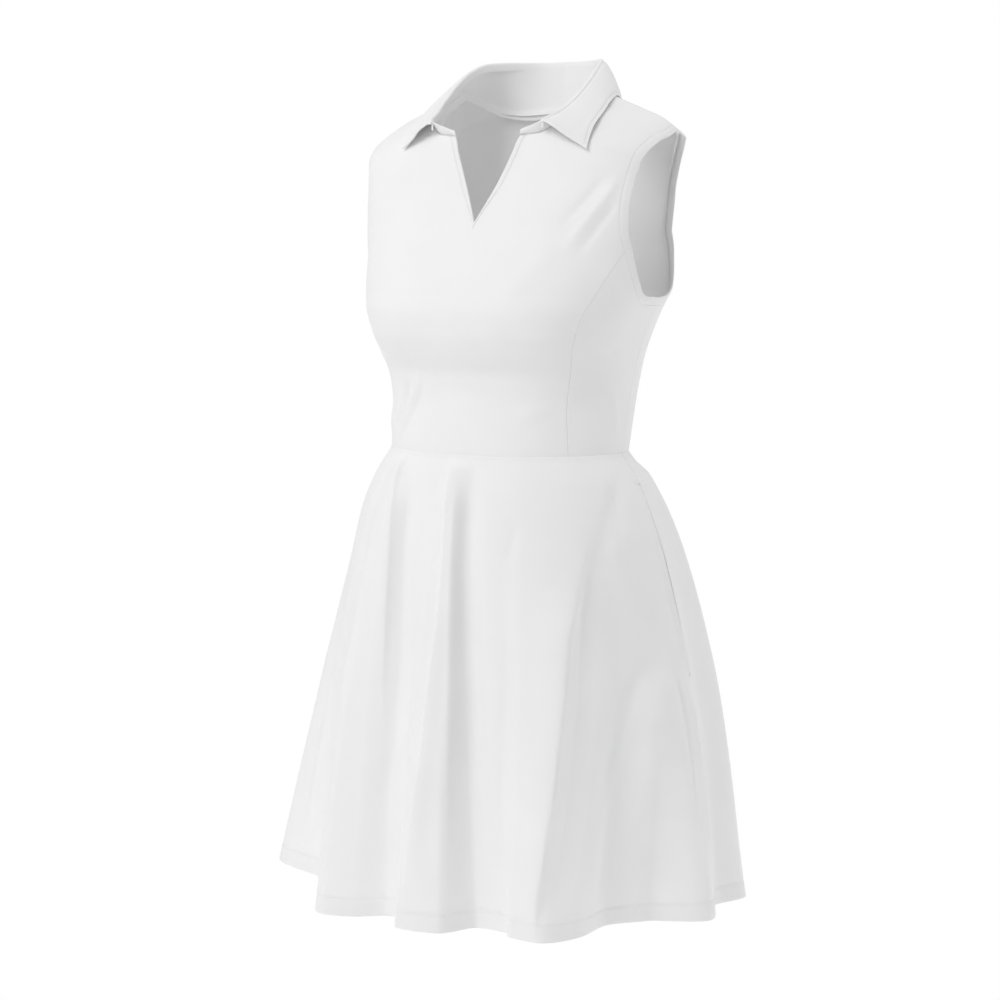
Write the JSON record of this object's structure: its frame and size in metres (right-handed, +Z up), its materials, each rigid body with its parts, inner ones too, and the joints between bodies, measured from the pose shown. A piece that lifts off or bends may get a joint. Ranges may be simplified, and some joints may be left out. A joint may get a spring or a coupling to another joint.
{
  "type": "sleeveless tennis dress",
  "caption": "Sleeveless knit athletic dress with a fold-over collar, open V neck, princess seams, side-seam pockets and a flared short skirt, in its worn shape with no wearer.",
  "frame": {"origin": "midway between the middles of the two shoulder seams, where the wearer's shoulders carry the dress", "axes": "+Z up the wearer's body, +X to the wearer's left, -Y out of the front of the dress"},
  "size_m": [0.519, 0.4176, 0.8633],
  "materials": {
    "white_jersey": "matte"
  },
  "bodies": {
    "root": {"bodice_front": "white_jersey", "bodice_side_left": "white_jersey", "bodice_side_right": "white_jersey", "bodice_back": "white_jersey", "armhole_band_left": "white_jersey", "armhole_band_right": "white_jersey", "v_binding": "white_jersey", "collar_stand": "white_jersey", "collar_leaf": "white_jersey", "skirt_front": "white_jersey", "skirt_back": "white_jersey", "pocket_bag_left": "white_jersey", "pocket_bag_right": "white_jersey"}
  },
  "joints": []
}
